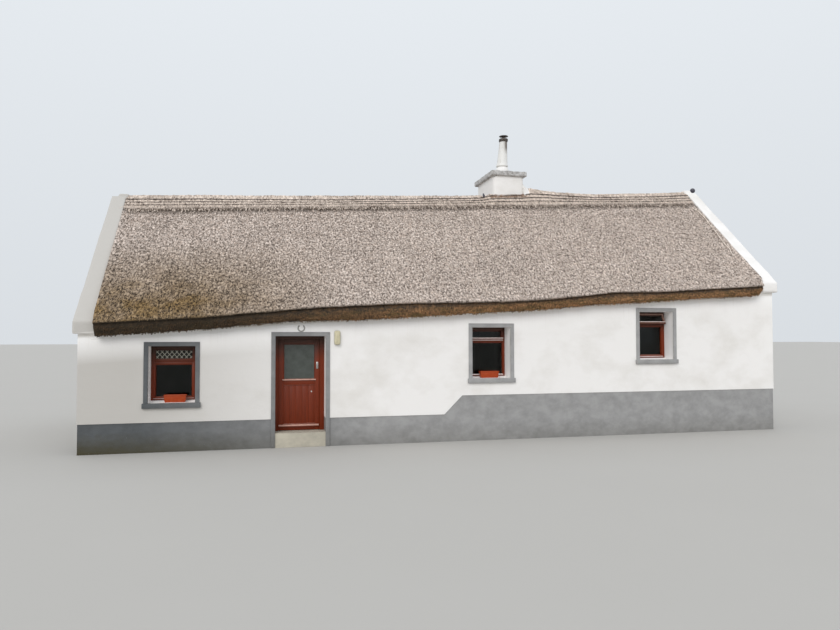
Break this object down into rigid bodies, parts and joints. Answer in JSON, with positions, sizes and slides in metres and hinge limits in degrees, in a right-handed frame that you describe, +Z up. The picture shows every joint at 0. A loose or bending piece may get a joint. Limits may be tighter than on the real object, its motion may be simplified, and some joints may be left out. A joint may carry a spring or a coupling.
{
  "type": "thatched cottage",
  "caption": "Long single-storey whitewashed cottage with a straw thatch roof, block ridge, coped gables, chimney with flue pot, small windows and a hinged front door.",
  "frame": {"origin": "centre of the plan on the level underside of the footings and floor", "axes": "+X along the front to the right when facing it, +Y from the front to the back, +Z up"},
  "size_m": [16.1, 6.69, 8.04],
  "materials": {
    "limewash": "matt painted render over rubble masonry",
    "grey_paint": "matt grey masonry paint",
    "thatch": "weathered straw, cut ends",
    "ridge_straw": "weathered straw, laid and tied down",
    "cement": "weathered cement mortar",
    "concrete": "float-finished concrete",
    "joinery": "dark red-brown wood stain",
    "window_glass": "clear float glass",
    "frosted_glass": "frosted pattern glass",
    "roof_timber": "rough-sawn timber",
    "flue_paint": "white paint",
    "galvanised": "dull weathered sheet",
    "terracotta": "unglazed earthenware",
    "weather_bar": "satin extrusion",
    "steel": "satin",
    "lamp_cream": "aged cream diffuser",
    "horseshoe_iron": "worn grey",
    "dark_stone": "smooth dark stone"
  },
  "bodies": {
    "cottage": {"floor_slab": "concrete", "door_threshold": "concrete", "plinth_front_left": "grey_paint", "plinth_front_right": "grey_paint", "plinth_rear": "grey_paint", "plinth_left_gable": "grey_paint", "plinth_right_gable": "grey_paint", "front_wall_left": "limewash", "front_wall_over_door": "limewash", "front_wall_right": "limewash", "rear_wall": "limewash", "left_gable_wall": "limewash", "left_gable_coping": "limewash", "right_gable_wall": "limewash", "right_gable_coping": "limewash", "thatch_front": "thatch", "thatch_rear": "thatch", "block_ridge": "ridge_straw", "roof_couple_1": "roof_timber", "roof_couple_2": "roof_timber", "roof_couple_3": "roof_timber", "roof_couple_4": "roof_timber", "roof_couple_5": "roof_timber", "chimney_stack": "limewash", "chimney_cap": "cement", "flue_pot": "flue_paint", "flue_cowl": "galvanised", "window_box_1": "terracotta", "window_box_2": "terracotta", "door_surround": "grey_paint", "door_frame": "joinery", "wall_light": "lamp_cream", "horseshoe": "horseshoe_iron", "gable_finial": "dark_stone", "front_window_1_surround": "grey_paint", "front_window_1_frame": "joinery", "front_window_1_glass": "window_glass", "front_window_2_surround": "grey_paint", "front_window_2_frame": "joinery", "front_window_2_glass": "window_glass", "front_window_3_surround": "grey_paint", "front_window_3_frame": "joinery", "front_window_3_glass": "window_glass", "rear_window_1_surround": "grey_paint", "rear_window_1_frame": "joinery", "rear_window_1_glass": "window_glass", "rear_window_2_surround": "grey_paint", "rear_window_2_frame": "joinery", "rear_window_2_glass": "window_glass"},
    "front_door": {"door_leaf": "joinery", "door_glass": "frosted_glass", "door_weather_bar": "weather_bar", "door_handle": "steel"}
  },
  "joints": [
    {"name": "front_door_hinge", "type": "hinge", "parent": "cottage", "child": "front_door", "pos_m": [-4.122, -2.663, 0.3], "axis": [0, 0, 1], "range_deg": [0, 90]}
  ]
}
